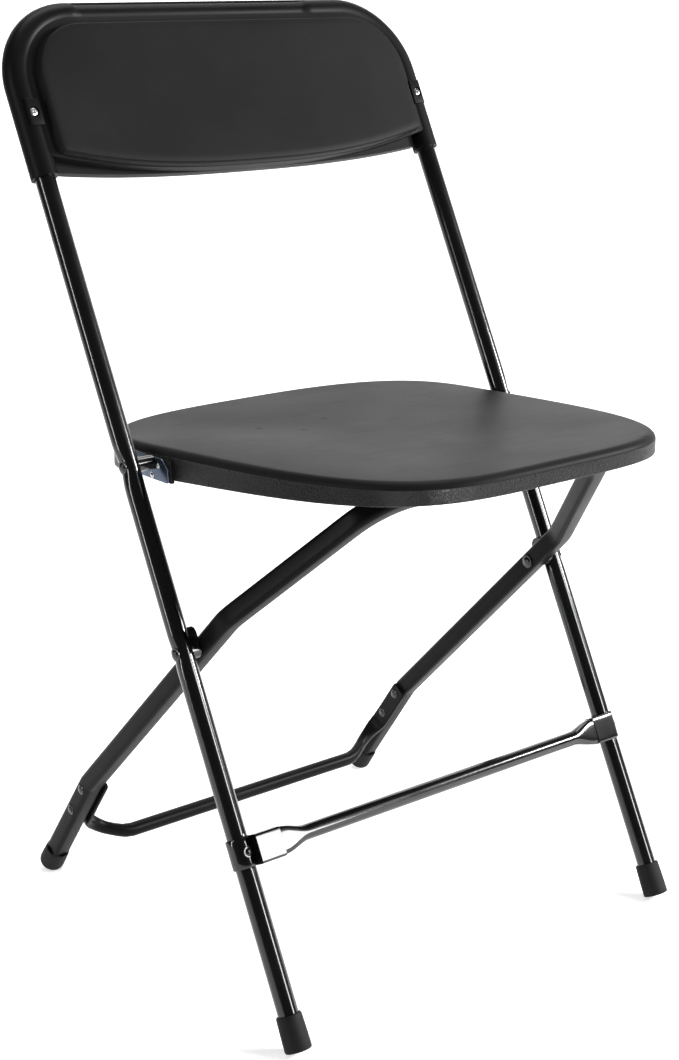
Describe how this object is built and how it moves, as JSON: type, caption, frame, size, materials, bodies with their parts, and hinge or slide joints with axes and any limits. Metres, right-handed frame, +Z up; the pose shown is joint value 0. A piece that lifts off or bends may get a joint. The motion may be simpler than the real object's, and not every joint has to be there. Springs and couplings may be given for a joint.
{
  "type": "folding chair",
  "caption": "Folding chair with a black tubular steel frame, a moulded plastic seat and a moulded plastic backrest; the seat and the rear legs fold together against the leaning frame.",
  "frame": {"origin": "middle of the chair's box at floor level, on the plane of symmetry", "axes": "+Z up, the sitter faces -Y, +X to the chair's right as seen from the front camera side"},
  "size_m": [0.433, 0.4744, 0.781],
  "materials": {
    "tube_paint": "gloss black powder coat",
    "leg_paint": "semi-gloss black powder coat",
    "moulded_plastic": "satin moulded plastic with a fine grain on the skirts",
    "rubber": "matte black rubber",
    "rivet_steel": "black-finished steel rivet, worn bright at the middle",
    "screw_steel": "bright steel screw",
    "bracket_zinc": "blue-bright zinc plate",
    "glide_nylon": "satin black nylon"
  },
  "bodies": {
    "front_frame": {"frame_tube": "tube_paint", "back_front_shell": "moulded_plastic", "back_rear_shell": "moulded_plastic", "back_screws": "screw_steel", "front_crossbar": "tube_paint", "front_crossbar_rivets": "rivet_steel", "front_foot_left": "rubber", "front_foot_right": "rubber", "seat_pivot_rivet_left": "rivet_steel", "seat_pivot_rivet_right": "rivet_steel", "seat_pivot_spacer_left": "tube_paint", "seat_pivot_spacer_right": "tube_paint", "leg_pivot_rivet_left": "rivet_steel", "leg_pivot_rivet_right": "rivet_steel", "leg_pivot_spacer_left": "tube_paint", "leg_pivot_spacer_right": "tube_paint"},
    "seat": {"seat_shell": "moulded_plastic", "seat_bracket_left": "bracket_zinc", "seat_bracket_right": "bracket_zinc", "seat_bracket_screws": "screw_steel", "seat_glide_left": "glide_nylon", "seat_glide_right": "glide_nylon"},
    "rear_legs": {"rear_leg_frame": "leg_paint", "rear_crossbar": "leg_paint", "rear_crossbar_rivets": "rivet_steel", "rear_foot_left": "rubber", "rear_foot_right": "rubber"}
  },
  "joints": [
    {"name": "seat_fold", "type": "hinge", "parent": "front_frame", "child": "seat", "pos_m": [0, 0.04421, 0.42857], "axis": [-1, 0, 0], "range_deg": [0, 100]},
    {"name": "rear_leg_fold", "type": "hinge", "parent": "front_frame", "child": "rear_legs", "pos_m": [0, -0.02593, 0.29091], "axis": [-1, 0, 0], "range_deg": [0, 62.51]}
  ],
  "couplings": [
    {"joint": "rear_leg_fold", "follows": "seat_fold", "ratio": 0.625}
  ]
}
